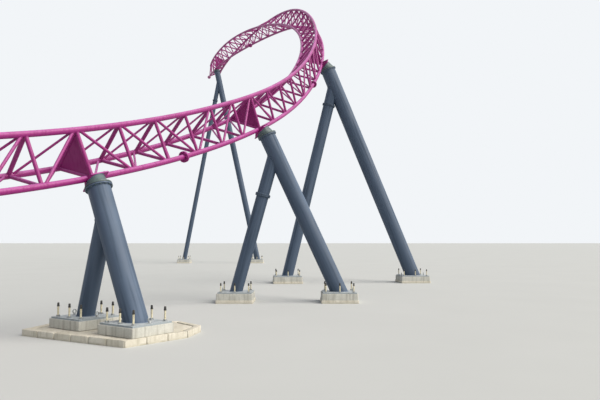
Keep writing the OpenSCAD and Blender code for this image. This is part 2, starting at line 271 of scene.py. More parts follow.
def weathered_coat(name, body, lit_faded_top, grime, patch_mm, streak_mm, streaks, rough, coat, down=(0, 0, 1)):
    """Weathered paint or sealant on steel: lighter on what faces up, as sun-faded paint and as painted
    light, and rain streaks down along a direction.
    """
    m = blank_material(name)
    place = add(m, "ShaderNodeTexCoord").outputs["Object"]
    normal = add(m, "ShaderNodeNewGeometry").outputs["Normal"]
    facing = add(m, "ShaderNodeSeparateXYZ", {0: normal}).outputs["Z"]
    patches = add(m, "ShaderNodeTexNoise", {
        "Vector": place, "Scale": mm(patch_mm), "Detail": 4.0}).outputs["Fac"]
    # what faces up is lighter, in patches: partly paint faded by the sun, partly painted light on the tops
    upward = add(m, "ShaderNodeMapRange", {"Value": facing, "From Min": -0.1, "From Max": 0.95}).outputs[0]
    sun = add(m, "ShaderNodeMath", {0: upward, 1: patches}, operation="MULTIPLY").outputs[0]
    sun = add(m, "ShaderNodeMapRange", {"Value": sun, "From Min": 0.12, "From Max": 0.62}).outputs[0]
    colour = add(m, "ShaderNodeMix", {0: sun, 6: linear(body), 7: linear(lit_faded_top)},
                 data_type="RGBA").outputs[2]
    # rain draws dust down the tube in long narrow runs
    slope = Vector(down).to_track_quat("Z", "Y").to_euler()
    drawn = add(m, "ShaderNodeMapping", {
        "Vector": place, "Rotation": slope, "Scale": (1, 1, STREAK_STRETCH),
    }, vector_type="TEXTURE").outputs[0]
    runs = add(m, "ShaderNodeTexNoise", {
        "Vector": drawn, "Scale": mm(streak_mm), "Detail": 3.0}).outputs["Fac"]
    runs = add(m, "ShaderNodeMapRange", {"Value": runs, "From Min": 0.5, "From Max": 0.78}).outputs[0]
    dust = add(m, "ShaderNodeTexNoise", {
        "Vector": place, "Scale": mm(DUST_MM), "Detail": 6.0}).outputs["Fac"]
    dirt = add(m, "ShaderNodeMath", {0: runs, 1: dust}, operation="MULTIPLY").outputs[0]
    dirt = add(m, "ShaderNodeMath", {0: dirt, 1: streaks}, operation="MULTIPLY").outputs[0]
    colour = add(m, "ShaderNodeMix", {0: dirt, 6: colour, 7: linear(grime)},
                 data_type="RGBA").outputs[2]
    # bleached patches and dirt are duller
    gloss = add(m, "ShaderNodeMapRange", {
        "Value": patches, "From Min": 0.3, "From Max": 0.7,
        "To Min": rough - 0.07, "To Max": rough + 0.10}).outputs[0]
    gloss = add(m, "ShaderNodeMath", {0: gloss, 1: dirt}, operation="ADD").outputs[0]
    peel = add(m, "ShaderNodeTexNoise", {
        "Vector": place, "Scale": mm(PEEL_MM), "Detail": 2.0}).outputs["Fac"]
    bump = add(m, "ShaderNodeBump", {"Height": peel, "Strength": 0.12, "Distance": 0.002}).outputs[0]
    shader = add(m, "ShaderNodeBsdfPrincipled", {
        "Base Color": colour, "Roughness": gloss, "Normal": bump, "IOR": 1.5,
        "Coat Weight": coat, "Coat Roughness": 0.12})
    return finish_material(m, shader)


# the magenta is a lighter pink where it faces up, partly faded by the sun and partly painted light, and
# stays deep on the undersides
magenta_gloss = weathered_coat("sprayed_magenta_polyurethane", "#951E76", "#C06AB2", "#380C2E",
                               patch_mm=420, streak_mm=45, streaks=0.55, rough=0.45, coat=0.05)
# rings for each half panel, and sides of a tube
STEPS = 4
SIDES = 24
# how far the open ends are hollow, and the chamfer of a cut edge
BORE_DEPTH = 0.30
EDGE = 0.003


def tube_length(mesh, tube, a, b, wall):
    """One length of tube between two splices, chamfered at both ends and hollow where the track ends."""
    r = TUBE_R[tube]
    points, outs = bent_line(tube, a, b, STEPS)
    headings = np.gradient(points, axis=0)
    body = [p + r * unit_ring(h, o, SIDES) for p, h, o in zip(points[1:-1], headings[1:-1], outs[1:-1])]
    # depth from the end and radius, from inside the bore out over the two chamfers
    bore = [(BORE_DEPTH, r - wall), (EDGE, r - wall), (0, r - wall + EDGE)]
    butt = [(0, r - EDGE), (EDGE, r)]
    first = unit(points[1] - points[0])
    last = unit(points[-1] - points[-2])
    start = [points[0] + depth * first + radius * unit_ring(first, outs[0], SIDES)
             for depth, radius in (bore + butt if a == 0 else butt)]
    end = [points[-1] - depth * last + radius * unit_ring(last, outs[-1], SIDES)
           for depth, radius in (bore + butt if b == FRAMES else butt)]
    skin(mesh, start + body + end[::-1])


for k in range(1, len(LENGTHS)):
    rails = ([], [])
    tube_length(rails, OUTER, LENGTHS[k - 1], LENGTHS[k], RAIL_WALL)
    tube_length(rails, INNER, LENGTHS[k - 1], LENGTHS[k], RAIL_WALL)
    make_piece("running_rails_%d" % k, rails, magenta_gloss, ["rails_%d" % k])


# Spine
# A third tube, as thick as a rail, runs below the rails and carries them. It comes in the same lengths,
# with a flange welded on at each end, and is painted with the rails.
SPINE_WALL = 0.0125

for k in range(1, len(LENGTHS)):
    spine = ([], [])
    tube_length(spine, SPINE, LENGTHS[k - 1], LENGTHS[k], SPINE_WALL)
    make_piece("spine_tube_%d" % k, spine, magenta_gloss, ["spine_%d" % k])


# Lattice
# Cross ties, posts and diagonals are cut tubes, coped to fit the rails and the spine. The solids of the
# frame show as they are. Each end is closed by a fillet weld, which stands out as a rounded bead.
TIE_R = 0.041
POST_R = 0.035
OUTER_DIAGONAL_R = 0.0285
LIGHT_DIAGONAL_R = 0.0225
# diagonals end this far along a tube from the frame
JOINT_OFFSET = 0.050
# frames that stand on a support
SUPPORT_FRAMES = [3, 9, 17, 39]
BEAD_R = 0.007
BEAD_POINTS = 20
BEAD_SIDES = 5

# the diaphragm plates face down and inwards, into the shade of the track, and take a deeper, cleaner copy
# of the magenta: painted shade
shaded_magenta_gloss = weathered_coat("magenta_polyurethane_painted_shade", "#880968", "#9D2888", "#440938",
                                    patch_mm=300, streak_mm=45, streaks=0.4, rough=0.6, coat=0.0)


def repaint(solid, material):
    """Gives a solid that shows as it is a material of its own."""
    solid.data.materials.clear()
    solid.data.materials.append(material)


for name, solid in nodes.items():
    if name.startswith(("frames_", "diagonals_", "splice_flanges", "saddles")):
        repaint(solid, magenta_gloss)
repaint(nodes["diaphragms"], shaded_magenta_gloss)


def joint(tube, i):
    """Point of a tube's axis at frame i."""
    return (centre(tube, 2 * i) + centre(tube, 2 * i + 1)) / 2


def run(tube, i):
    """Direction of a tube at frame i."""
    return unit(centre(tube, 2 * i + 1) - centre(tube, 2 * i))


def bead(mesh, points, side_a, side_b, size):
    """Closed weld bead, with its round section between two directions at each point."""
    angle = 2 * np.pi * np.arange(BEAD_SIDES) / BEAD_SIDES
    rings = [p + size * (np.outer(np.cos(angle), a) + np.outer(np.sin(angle), b))
             for p, a, b in zip(points, side_a, side_b)]
    skin(mesh, rings, closed=True)


def square_to(v):
    """Two directions square to v and to each other."""
    v = unit(v)
    x = unit(np.cross(v, [0.3, 0.5, 0.8]))
    return x, np.cross(v, x)


def coped_bead(mesh, at, along, tube_r, member, member_r, size=BEAD_R, count=BEAD_POINTS):
    """Bead round a member, which leaves the point at of a tube's axis in the direction member."""
    m, t = unit(member), unit(along)
    x, y = square_to(m)
    m_flat = m - (m @ t) * t
    points, out_member, out_tube = [], [], []
    for angle in 2 * np.pi * np.arange(count) / count:
        radial = math.cos(angle) * x + math.sin(angle) * y
        # where a line on the member's skin meets the tube's
        w = member_r * radial
        w_flat = w - (w @ t) * t
        a, b, c = m_flat @ m_flat, 2 * w_flat @ m_flat, w_flat @ w_flat - tube_r ** 2
        s = (-b + math.sqrt(max(b * b - 4 * a * c, 0))) / (2 * a)
        points.append(at + w + s * m)
        out_member.append(radial)
        out_tube.append((w_flat + s * m_flat) / tube_r)
    bead(mesh, points, out_member, out_tube, size)


def member_beads(mesh, tube_a, a, tube_b, b, offset_a, offset_b, member_r):
    """Beads at both ends of a member between a joint of one tube and a joint of another."""
    run_a, run_b = run(tube_a, a), run(tube_b, b)
    start = joint(tube_a, a) + offset_a * run_a
    end = joint(tube_b, b) + offset_b * run_b
    coped_bead(mesh, start, run_a, TUBE_R[tube_a], end - start, member_r)
    coped_bead(mesh, end, run_b, TUBE_R[tube_b], start - end, member_r)


def falls_away(i):
    """True where the outer diagonal of panel i leads down and away from the nearer support."""
    before = [s for s in SUPPORT_FRAMES if s <= i]
    after = [s for s in SUPPORT_FRAMES if s > i]
    if not after or not before:
        return not after
    return i - before[-1] < after[0] - i - 1


for k in range(1, len(LENGTHS)):
    welds = ([], [])
    for i in range(LENGTHS[k - 1], LENGTHS[k]):
        member_beads(welds, OUTER, i, INNER, i, 0, 0, TIE_R)
        member_beads(welds, SPINE, i, OUTER, i, 0, 0, POST_R)
        member_beads(welds, SPINE, i, INNER, i, 0, 0, POST_R)
        # no diagonal leaves the last frame
        if i == FRAMES - 1:
            continue
        member_beads(welds, INNER, i, OUTER, i + 1, JOINT_OFFSET, -JOINT_OFFSET, LIGHT_DIAGONAL_R)
        member_beads(welds, SPINE, i, INNER, i + 1, JOINT_OFFSET, -JOINT_OFFSET, LIGHT_DIAGONAL_R)
        ends = (OUTER, SPINE) if falls_away(i) else (SPINE, OUTER)
        member_beads(welds, ends[0], i, ends[1], i + 1, JOINT_OFFSET, -JOINT_OFFSET, OUTER_DIAGONAL_R)
    make_piece("lattice_welds_%d" % k, welds, magenta_gloss)


# Spine flange bolts
# Each pair of spine flanges is drawn together by hexagon bolts with washers and nuts, which were sprayed
# over with the track after it was put up. They take the deeper copy of its magenta, as painted shade.
FLANGE_T = 0.025
FLANGE_PCD = 0.190
FLANGE_BOLTS = 8
FLANGE_BOLT_D = 0.022


def splice_run(tube, i):
    """Direction of a tube half a panel before frame i."""
    return unit(centre(tube, 2 * i) - centre(tube, 2 * i - 1))


def turned(mesh, at, axis, profile, sides=16, turn=0.0):
    """Round or hexagonal piece on an axis, from pairs of radius and height."""
    x, y = square_to(axis)
    axis = unit(axis)
    angle = 2 * np.pi * np.arange(sides) / sides + turn
    spokes = np.outer(np.cos(angle), x) + np.outer(np.sin(angle), y)
    skin(mesh, [at + h * axis + r * spokes for r, h in profile])


def bolt(mesh, at, axis, grip, d, turn):
    """Hexagon bolt with washers and a nut, through a grip centred at a point. Sizes go by its diameter."""
    washer_r, washer_h, hexagon_r = 1.05 * d, 0.12 * d, 0.92 * d
    head_h, nut_h, tip_h = 0.65 * d, 0.8 * d, 0.35 * d
    axis = unit(axis)
    for side, height, tip in ((1, head_h, 0), (-1, nut_h, tip_h)):
        base = at + side * grip / 2 * axis
        out = side * axis
        turned(mesh, base, out, [(washer_r, 0), (washer_r, washer_h), (0.6 * d, washer_h)], 14)
        turned(mesh, base, out, [(hexagon_r, washer_h), (hexagon_r, height),
                                 (0.82 * hexagon_r, height + 0.12 * d)], 6, turn)
        if tip:
            turned(mesh, base, out, [(d / 2, height), (d / 2, height + tip),
                                     (0.4 * d, height + tip + 0.1 * d)], 10)


def ring_of_bolts(mesh, at, axis, first, circle_r, count, grip, d):
    """Bolts round a pair of flanges that meet at a point, the first of them in a given direction."""
    second = np.cross(axis, first)
    for n in range(count):
        angle = 2 * np.pi * n / count
        place = at + circle_r * (math.cos(angle) * first + math.sin(angle) * second)
        # each hexagon has stopped at a turn of its own
        bolt(mesh, place, axis, grip, d, 0.7 * n)


spine_bolts = ([], [])
for i in LENGTHS[1:-1]:
    at, t = splice(SPINE, i), splice_run(SPINE, i)
    # the flange's first hole lies towards the vertical
    upward = np.cross(unit(np.cross(t, [0, 0, 1])), t)
    ring_of_bolts(spine_bolts, at, t, upward, FLANGE_PCD / 2, FLANGE_BOLTS, 2 * FLANGE_T, FLANGE_BOLT_D)
make_piece("spine_flange_bolts", spine_bolts, shaded_magenta_gloss)


# Legs
# Large pipes, spiral or seam welded, blasted and painted slate grey. The side leg is coped onto the
# main leg and welded. Girth welds show where two pipes were joined in the works.
LEG_FLANGE_T = 0.030
# what a flange adds to its pipe's diameter
LEG_FLANGE_RIM = 0.075
# how far the underside of the saddle's plate lies below the spine's axis
SADDLE_DROP = 0.110
# as shares of the main leg's diameter: reach of the head, diameter of the side leg and of the head
HEAD_REACH = 0.62
SIDE_SHARE = 0.76
HEAD_SHARE = 0.94
PLATE_T = 0.030
SLAB_H = 0.115
SMALL_SLAB_H = 0.080
# one row a support: turn of its legs in degrees, reach of the main foot and of the side foot, diameter
# of the main leg, side and height of a plinth, distance of the knee below the top, distance of the side
# leg's flanges below the knee (0 for none), lean of the head in degrees, and height of the slab
SUPPORTS = [
    (-35, 1.255, -0.110, 0.410, 0.880, 0.155, 0.516, 0.000, 46, SLAB_H),
    (0, 2.145, -0.610, 0.440, 0.950, 0.170, 0.507, 1.210, 48, SMALL_SLAB_H),
    (4, 3.560, -1.340, 0.555, 1.100, 0.170, 0.611, 0.870, 48, SMALL_SLAB_H),
    (0, 3.065, -2.165, 0.400, 0.900, 0.170, 0.702, 1.500, 13, SMALL_SLAB_H),
]


class Support:
    """Places on the support of a frame, from its row of the table."""

    def __init__(self, frame_no, row):
        turn, main, side, self.d, self.plinth, self.plinth_h, knee, self.ring, lean, self.slab = row
        self.turn = math.radians(turn)
        out = np.array([math.cos(self.turn), math.sin(self.turn), 0])
        self.crown = joint(SPINE, frame_no)
        self.track = run(SPINE, frame_no)
        plate = np.array([self.crown[0], self.crown[1], self.slab + self.plinth_h + PLATE_T])
        self.feet = [plate + main * out, plate + side * out]
        lean = math.radians(lean)
        self.head_up = np.array([0, 0, math.cos(lean)]) - math.sin(lean) * out
        self.top = self.crown - HEAD_REACH * self.d * self.head_up
        self.lean = unit(self.top - self.feet[0])
        self.knee = self.top - knee * self.lean
        self.side_lean = unit(self.knee - self.feet[1])
        self.side_d = SIDE_SHARE * self.d
        self.saddle_up = unit(self.head_up - (self.head_up @ self.track) * self.track)


supports = [Support(frame_no, row) for frame_no, row in zip(SUPPORT_FRAMES, SUPPORTS)]


def slate_gloss(name, down):
    """Slate grey two-pack paint, gone dull and streaked along a direction, lighter on what faces up as
    faded paint and as painted light.
    """
    return weathered_coat("sprayed_slate_grey_" + name, "#43546A", "#7487A1", "#222C35",
                          patch_mm=900, streak_mm=70, streaks=0.9, rough=0.6, coat=0.0, down=down)


# each leg has its own paint, because the rain runs down along it
for n, s in enumerate(supports, 1):
    for name, down in (("main_leg_%d" % n, s.lean), ("side_leg_%d" % n, s.side_lean)):
        repaint(nodes[name], slate_gloss(name, down))
# the heads show the grey-green of their works primer, greener and less blue than the legs
grey_green_gloss = weathered_coat("sprayed_grey_green_primer", "#45585A", "#697C7E", "#2C3A3D",
                                  patch_mm=500, streak_mm=40, streaks=0.8, rough=0.45, coat=0.05)
for n in range(1, len(supports) + 1):
    repaint(nodes["head_%d" % n], grey_green_gloss)
LEG_BEAD_R = 0.011
PIPE_BEAD_POINTS = 48
COPE_BEAD_POINTS = 64
GIRTH_R = 0.004
# length of the works' pipes, and the least that is left of one at the top
GIRTH_SPACING = 3.0
GIRTH_CLEAR = 1.6
UP = np.array([0, 0, 1.0])


def round_bead(mesh, at, axis, radius, size):
    """Bead round a pipe, square to its axis."""
    flat_bead(mesh, at, axis, axis, radius, size)


def flat_bead(mesh, at, normal, axis, radius, size):
    """Bead where a leaning pipe meets a flat plate through a point."""
    x, y = square_to(axis)
    m, n = unit(axis), unit(normal)
    points, out = [], []
    for angle in 2 * np.pi * np.arange(PIPE_BEAD_POINTS) / PIPE_BEAD_POINTS:
        w = radius * (math.cos(angle) * x + math.sin(angle) * y)
        points.append(at + w - (w @ n) / (m @ n) * m)
        out.append(unit(w - (w @ n) * n))
    bead(mesh, points, out, [n] * PIPE_BEAD_POINTS, size)


leg_welds = ([], [])
for s in supports:
    r, side_r = s.d / 2, s.side_d / 2
    coped_bead(leg_welds, s.knee, s.lean, r, s.feet[1] - s.knee, side_r, LEG_BEAD_R, COPE_BEAD_POINTS)
    flat_bead(leg_welds, s.feet[0], UP, s.lean, r, LEG_BEAD_R)
    flat_bead(leg_welds, s.feet[1], UP, s.side_lean, side_r, LEG_BEAD_R)
    round_bead(leg_welds, s.top - LEG_FLANGE_T * s.lean, s.lean, r, LEG_BEAD_R)
    # the head's stub, where it leaves its flange and where it meets the saddle
    share = LEG_FLANGE_T / (s.head_up @ s.lean)
    flat_bead(leg_welds, s.top + share * s.head_up, s.lean, s.head_up, HEAD_SHARE * r, LEG_BEAD_R)
    share = SADDLE_DROP / (s.head_up @ s.saddle_up)
    flat_bead(leg_welds, s.crown - share * s.head_up, -s.saddle_up, s.head_up, HEAD_SHARE * r, LEG_BEAD_R)
    for start, end, pipe_r in ((s.feet[0], s.top, r), (s.feet[1], s.knee, side_r)):
        length = np.linalg.norm(end - start)
        for n in range(1, int(length / GIRTH_SPACING) + 1):
            if n * GIRTH_SPACING < length - GIRTH_CLEAR:
                axis = unit(end - start)
                round_bead(leg_welds, start + n * GIRTH_SPACING * axis, axis, pipe_r, GIRTH_R)
    if s.ring:
        for side in (-1, 1):
            at = s.knee - (s.ring + side * LEG_FLANGE_T) * s.side_lean
            round_bead(leg_welds, at, s.side_lean, side_r, LEG_BEAD_R)
make_piece("leg_welds", leg_welds, slate_gloss("leg_welds", UP))


# Leg flange bolts
# The head is bolted to the main leg, and the side leg's two pipes to each other, by a ring of bolts in the
# grey-green of the heads. A dull black band in the joint between the two flanges is painted shade of the
# gap.
LEG_BOLT_D = 0.014
LEG_BOLTS = 16
SEAM_T = 0.008
SEAM_DEPTH = 0.020
SEAM_PROUD = 0.002
SEAM_SIDES = 64


def seam(mesh, at, axis, radius):
    """Dull black band, painted shade of the gap between a pair of flanges, that stands a little proud of
    them.
    """
    inner, outer, half = radius - SEAM_DEPTH, radius + SEAM_PROUD, SEAM_T / 2
    turned(mesh, at, axis, [(inner, -half), (outer, -half), (outer, half), (inner, half)], SEAM_SIDES)


leg_bolts, seams = ([], []), ([], [])
for s in supports:
    joints = [(s.top, s.lean, s.d)]
    if s.ring:
        joints.append((s.knee - s.ring * s.side_lean, s.side_lean, s.side_d))
    for at, axis, pipe_d in joints:
        # bolts stand in the middle of the rim
        bolt_circle = pipe_d / 2 + LEG_FLANGE_RIM / 4
        ring_of_bolts(leg_bolts, at, axis, square_to(axis)[0], bolt_circle, LEG_BOLTS, 2 * LEG_FLANGE_T,
                      LEG_BOLT_D)
        seam(seams, at, axis, (pipe_d + LEG_FLANGE_RIM) / 2)
make_piece("leg_flange_bolts", leg_bolts, grey_green_gloss)
# a dull black, dusty band with no gloss of its own: painted shade of the gap between the flanges
gap_shade_black = weathered_coat("flange_gap_painted_shade", "#22272B", "#3B4146", "#121517",
                               patch_mm=90, streak_mm=30, streaks=0.3, rough=0.7, coat=0.0)
make_piece("flange_seams", seams, gap_shade_black)


# Saddle wings
# Two pairs of triangular plates stand across each saddle and stiffen its wide plate against the sides
# of the spine. They are welded to both and painted with the track.
SADDLE_L = 0.400
WING_T = 0.016
# a wing stands on the saddle's plate, ends short of the head's edge and climbs to the spine
WING_FOOT_Z = 0.024
WING_TOE_Z = 0.042
WING_TOP_Z = 0.135
WING_INSET = 0.010
# how far out from the middle it starts, at its foot and along its top
WING_HEEL_Y = 0.030
WING_TOP_IN, WING_TOP_OUT = 0.040, 0.066
wings = ([], [])
for s in supports:
    along, up = s.track, s.saddle_up
    across = np.cross(up, along)
    base = s.crown - SADDLE_DROP * up
    reach = s.d / 2 - WING_INSET
    # outline: how far out from the middle and up from the plate's underside
    outline = [(WING_HEEL_Y, WING_FOOT_Z), (reach, WING_FOOT_Z), (reach, WING_TOE_Z),
               (WING_TOP_OUT, WING_TOP_Z), (WING_TOP_IN, WING_TOP_Z)]
    for x in (-SADDLE_L / 3, SADDLE_L / 3):
        for side in (-1, 1):
            out = side * across
            both_faces = [np.array([base + (x + t) * along + y * out + z * up for y, z in outline])
                          for t in (-side * WING_T / 2, side * WING_T / 2)]
            skin(wings, both_faces)
make_piece("saddle_wings", wings, magenta_gloss)


# Base plates
# Thick flame-cut steel plates under the legs, with a hole for each stud. They were brushed with a
# lighter grey enamel after they were set level, and dust has dulled it.
plate_grey = weathered_coat("brushed_on_light_grey_enamel", "#9BA6AE", "#BCC5CA", "#7C7869",
                            patch_mm=160, streak_mm=70, streaks=0.7, rough=0.55, coat=0.0)
for name, solid in nodes.items():
    if name.startswith("base_plates_"):
        repaint(solid, plate_grey)


# Anchors
# Cast-in threaded studs stand well above the plates. Each has a washer, a nut and a grease-filled
# sleeve of cream plastic with a black cap. Two forged lifting nuts stay on each plate.
PLATE_MARGIN = 0.030
STUD_EDGE = 0.080
STUD_D = 0.036
STUD_H = 0.210
CAP_H = 0.070
CAP_D = 0.052
NUT_W = 0.060
NUT_H = 0.029
# the sleeve follows the stud's thread, of 4 mm pitch, which is drawn at 10 mm so that it shows
THREAD = 0.010
# sizes of the patches of dust, of the crystals of zinc and of the patches of rust
PLASTIC_DUST_MM = 25
ZINC_CRYSTAL_MM = 12
RUST_MM = 60


def moulded_plastic(name, body, worn, rough):
    """Moulded polyethylene, slightly waxy, greyer where dust sits."""
    m = blank_material(name)
    place = add(m, "ShaderNodeTexCoord").outputs["Object"]
    dust = add(m, "ShaderNodeTexNoise", {
        "Vector": place, "Scale": mm(PLASTIC_DUST_MM), "Detail": 5.0}).outputs["Fac"]
    dust = add(m, "ShaderNodeMapRange", {"Value": dust, "From Min": 0.4, "From Max": 0.75}).outputs[0]
    colour = add(m, "ShaderNodeMix", {0: dust, 6: linear(body), 7: linear(worn)},
                 data_type="RGBA").outputs[2]
    gloss = add(m, "ShaderNodeMapRange", {
        "Value": dust, "To Min": rough, "To Max": rough + 0.25}).outputs[0]
    shader = add(m, "ShaderNodeBsdfPrincipled", {"Base Color": colour, "Roughness": gloss, "IOR": 1.5})
    return finish_material(m, shader)


def galvanised(name, body, pale, rust):
    """Dull zinc with its patchy crystals and a little rust."""
    m = blank_material(name)
    place = add(m, "ShaderNodeTexCoord").outputs["Object"]
    flakes = add(m, "ShaderNodeTexVoronoi", {
        "Vector": place, "Scale": mm(ZINC_CRYSTAL_MM)}).outputs["Color"]
    tone = add(m, "ShaderNodeSeparateColor", {0: flakes}).outputs[0]
    colour = add(m, "ShaderNodeMix", {0: tone, 6: linear(body), 7: linear(pale)},
                 data_type="RGBA").outputs[2]
    patches = add(m, "ShaderNodeTexNoise", {
        "Vector": place, "Scale": mm(RUST_MM), "Detail": 5.0}).outputs["Fac"]
    rusty = add(m, "ShaderNodeMapRange", {
        "Value": patches, "From Min": 0.58, "From Max": 0.8, "To Max": 0.5}).outputs[0]
    colour = add(m, "ShaderNodeMix", {0: rusty, 6: colour, 7: linear(rust)}, data_type="RGBA").outputs[2]
    gloss = add(m, "ShaderNodeMapRange", {"Value": tone, "To Min": 0.42, "To Max": 0.62}).outputs[0]
    # the dull white bloom on old zinc makes it less than fully metallic
    shader = add(m, "ShaderNodeBsdfPrincipled", {
        "Base Color": colour, "Roughness": gloss, "Metallic": 0.7})
    return finish_material(m, shader)


zinc = galvanised("hot_dip_galvanised_steel", "#8E9396", "#B9BDBD", "#7A5A42")
cream_sleeve = moulded_plastic("moulded_cream_polyethylene", "#E2DCC0", "#B5AC90", 0.4)
black_cap = moulded_plastic("moulded_black_polyethylene", "#17181A", "#3A3935", 0.35)
WASHER_T = 0.004
SLEEVE_GROOVE = 0.003
# the ring of a lifting nut, and how high its middle stands above the nut's foot
EYE_R = 0.034
EYE_ROD = 0.010
EYE_SIDES = 10
EYE_RINGS = 29
# the ring is open below, where it runs into the nut's collar
EYE_FROM, EYE_TO = -80, 260
COLLAR_H = 0.024
# radius and height, from the wide foot up to the collar
NUT_BODY = [(0.030, 0), (0.030, 0.006), (0.022, 0.010), (0.019, 0.026), (0.014, 0.032)]


def lifting_nut(mesh, at, plane):
    """Forged nut with an upright ring, whose plane holds a direction."""
    turned(mesh, at, UP, NUT_BODY, 20)
    side = np.cross(plane, UP)
    rings = []
    for a in np.radians(np.linspace(EYE_FROM, EYE_TO, EYE_RINGS)):
        spoke = math.cos(a) * plane + math.sin(a) * UP
        middle = at + (COLLAR_H + EYE_R) * UP + EYE_R * spoke
        rings.append(np.array([middle + EYE_ROD * (math.cos(b) * spoke + math.sin(b) * side)
                               for b in 2 * np.pi * np.arange(EYE_SIDES) / EYE_SIDES]))
    skin(mesh, rings)


def anchor(sleeves, caps, nuts, at, turn):
    """One stud with its sleeve, cap, washer and nut."""
    turned(nuts, at, UP, [(0.68 * NUT_W, 0), (0.68 * NUT_W, WASHER_T), (0.4 * NUT_W, WASHER_T)], 18)
    # the nut's corners lie 0.577 of its width from the middle, and its faces 0.5
    turned(nuts, at, UP, [(0.5 * NUT_W, WASHER_T), (0.577 * NUT_W, WASHER_T + 0.003),
                          (0.577 * NUT_W, NUT_H - 0.003), (0.5 * NUT_W, NUT_H)], 6, turn)
    foot, top = STUD_H - CAP_H / 2, STUD_H + CAP_H / 2 - 0.001
    rod = [(STUD_D / 2, NUT_H)]
    for k in range(int((foot - NUT_H) / THREAD)):
        z = NUT_H + k * THREAD
        rod += [(STUD_D / 2, z + 0.3 * THREAD), (STUD_D / 2 - SLEEVE_GROOVE, z + 0.8 * THREAD)]
    turned(sleeves, at, UP, rod + [(STUD_D / 2, foot)], 14)
    # a rim at the cap's foot, a neck and a rounded top
    turned(caps, at, UP, [(CAP_D / 2 - 0.004, foot), (CAP_D / 2 - 0.002, foot + 0.003),
                          (CAP_D / 2 - 0.002, foot + 0.014), (CAP_D / 2 - 0.006, foot + 0.018),
                          (CAP_D / 2 - 0.007, top - 0.01), (CAP_D / 2 - 0.013, top)], 16)


for n, s in enumerate(supports, 1):
    sleeves, caps, nuts = ([], []), ([], []), ([], [])
    # studs stand in rows of three along two edges of each plate, and a lifting nut halfway along the
    # other two
    e = s.plinth / 2 - PLATE_MARGIN - STUD_EDGE
    cos, sin = math.cos(s.turn), math.sin(s.turn)
    for foot in s.feet:
        for x in (-e, e):
            lifting_nut(nuts, foot + np.array([x * cos, x * sin, 0]), np.array([-sin, cos, 0]))
        for x in (-e, 0, e):
            for y in (-e, e):
                at = foot + np.array([x * cos - y * sin, x * sin + y * cos, 0])
                # the nuts have stopped at different turns
                anchor(sleeves, caps, nuts, at, 0.9 * x)
    make_piece("anchor_sleeves_%d" % n, sleeves, cream_sleeve, ["anchors_%d" % n])
    make_piece("anchor_caps_%d" % n, caps, black_cap)
    make_piece("anchor_nuts_%d" % n, nuts, zinc)


# Plinths
# Concrete cast in square timber moulds under each leg, cold grey and finely pitted. Its edges have
# chipped a little, and rain has drawn runs down its sides.
PLINTH_EDGE = 0.010
# sizes of the clouds in the cement, of the width of a stain that runs down it, and of its grit
CLOUD_MM = 220
RUN_MM = 55
GRIT_MM = 12
# how much longer than wide a stain is
RUN_STRETCH = 12.5


def cast_concrete(name, body, pale, stain, dark_foot_top, pit_mm):
    """Cast concrete: cloudy, pitted, streaked from the top and darker towards the foot."""
    m = blank_material(name)
    place = add(m, "ShaderNodeTexCoord").outputs["Object"]
    height = add(m, "ShaderNodeSeparateXYZ", {0: place}).outputs["Z"]
    cloud = add(m, "ShaderNodeTexNoise", {
        "Vector": place, "Scale": mm(CLOUD_MM), "Detail": 7.0}).outputs["Fac"]
    cloud = add(m, "ShaderNodeMapRange", {"Value": cloud, "From Min": 0.3, "From Max": 0.7}).outputs[0]
    colour = add(m, "ShaderNodeMix", {0: cloud, 6: linear(body), 7: linear(pale)},
                 data_type="RGBA").outputs[2]
    # streaks are drawn out downwards, and the colour darkens towards the ground
    drawn = add(m, "ShaderNodeMapping", {"Vector": place, "Scale": (1, 1, 1 / RUN_STRETCH)}).outputs[0]
    runs = add(m, "ShaderNodeTexNoise", {
        "Vector": drawn, "Scale": mm(RUN_MM), "Detail": 5.0}).outputs["Fac"]
    runs = add(m, "ShaderNodeMapRange", {
        "Value": runs, "From Min": 0.5, "From Max": 0.75, "To Max": 0.7}).outputs[0]
    dark_foot = add(m, "ShaderNodeMapRange", {
        "Value": height, "From Min": dark_foot_top, "From Max": 0.0}).outputs[0]
    dark_foot = add(m, "ShaderNodeMath", {0: dark_foot, 1: cloud}, operation="MULTIPLY").outputs[0]
    dirt = add(m, "ShaderNodeMath", {0: runs, 1: dark_foot}, operation="MAXIMUM").outputs[0]
    colour = add(m, "ShaderNodeMix", {0: dirt, 6: colour, 7: linear(stain)}, data_type="RGBA").outputs[2]
    # sand and grit tint the face, and air pits roughen it
    grit = add(m, "ShaderNodeTexNoise", {
        "Vector": place, "Scale": mm(GRIT_MM), "Detail": 8.0}).outputs["Fac"]
    tint = add(m, "ShaderNodeMapRange", {
        "Value": grit, "From Min": 0.3, "From Max": 0.7, "To Max": 0.35}).outputs[0]
    colour = add(m, "ShaderNodeMix", {0: tint, 6: colour, 7: linear(stain)}, data_type="RGBA").outputs[2]
    pits = add(m, "ShaderNodeTexVoronoi", {"Vector": place, "Scale": mm(pit_mm)}).outputs["Distance"]
    pits = add(m, "ShaderNodeMapRange", {"Value": pits, "From Min": 0.05, "From Max": 0.25}).outputs[0]
    relief = add(m, "ShaderNodeMath", {0: grit, 1: pits}, operation="ADD").outputs[0]
    bump = add(m, "ShaderNodeBump", {"Height": relief, "Strength": 0.6, "Distance": 0.004}).outputs[0]
    shader = add(m, "ShaderNodeBsdfPrincipled", {"Base Color": colour, "Roughness": 0.88, "Normal": bump})
    return finish_material(m, shader)


# bites out of a cast edge: how many to a metre, how far they swing the bevel, the least that they leave
# of it, and the layer of the noise that draws them
CHIPS_PER_M = 14
CHIP_SWING = 1.3
CHIP_LEAST = 0.3
NOISE_LAYER = 3.7
# radius of the upright corners, as a share of the bevel
CORNER_SHARE = 2.5
# shape of the bevel: how far in and how far below the top, as shares of a chip; None is the block's foot
BEVEL = ((0.2, None), (0.0, 1.0), (0.25, 0.3), (1.0, 0.0))


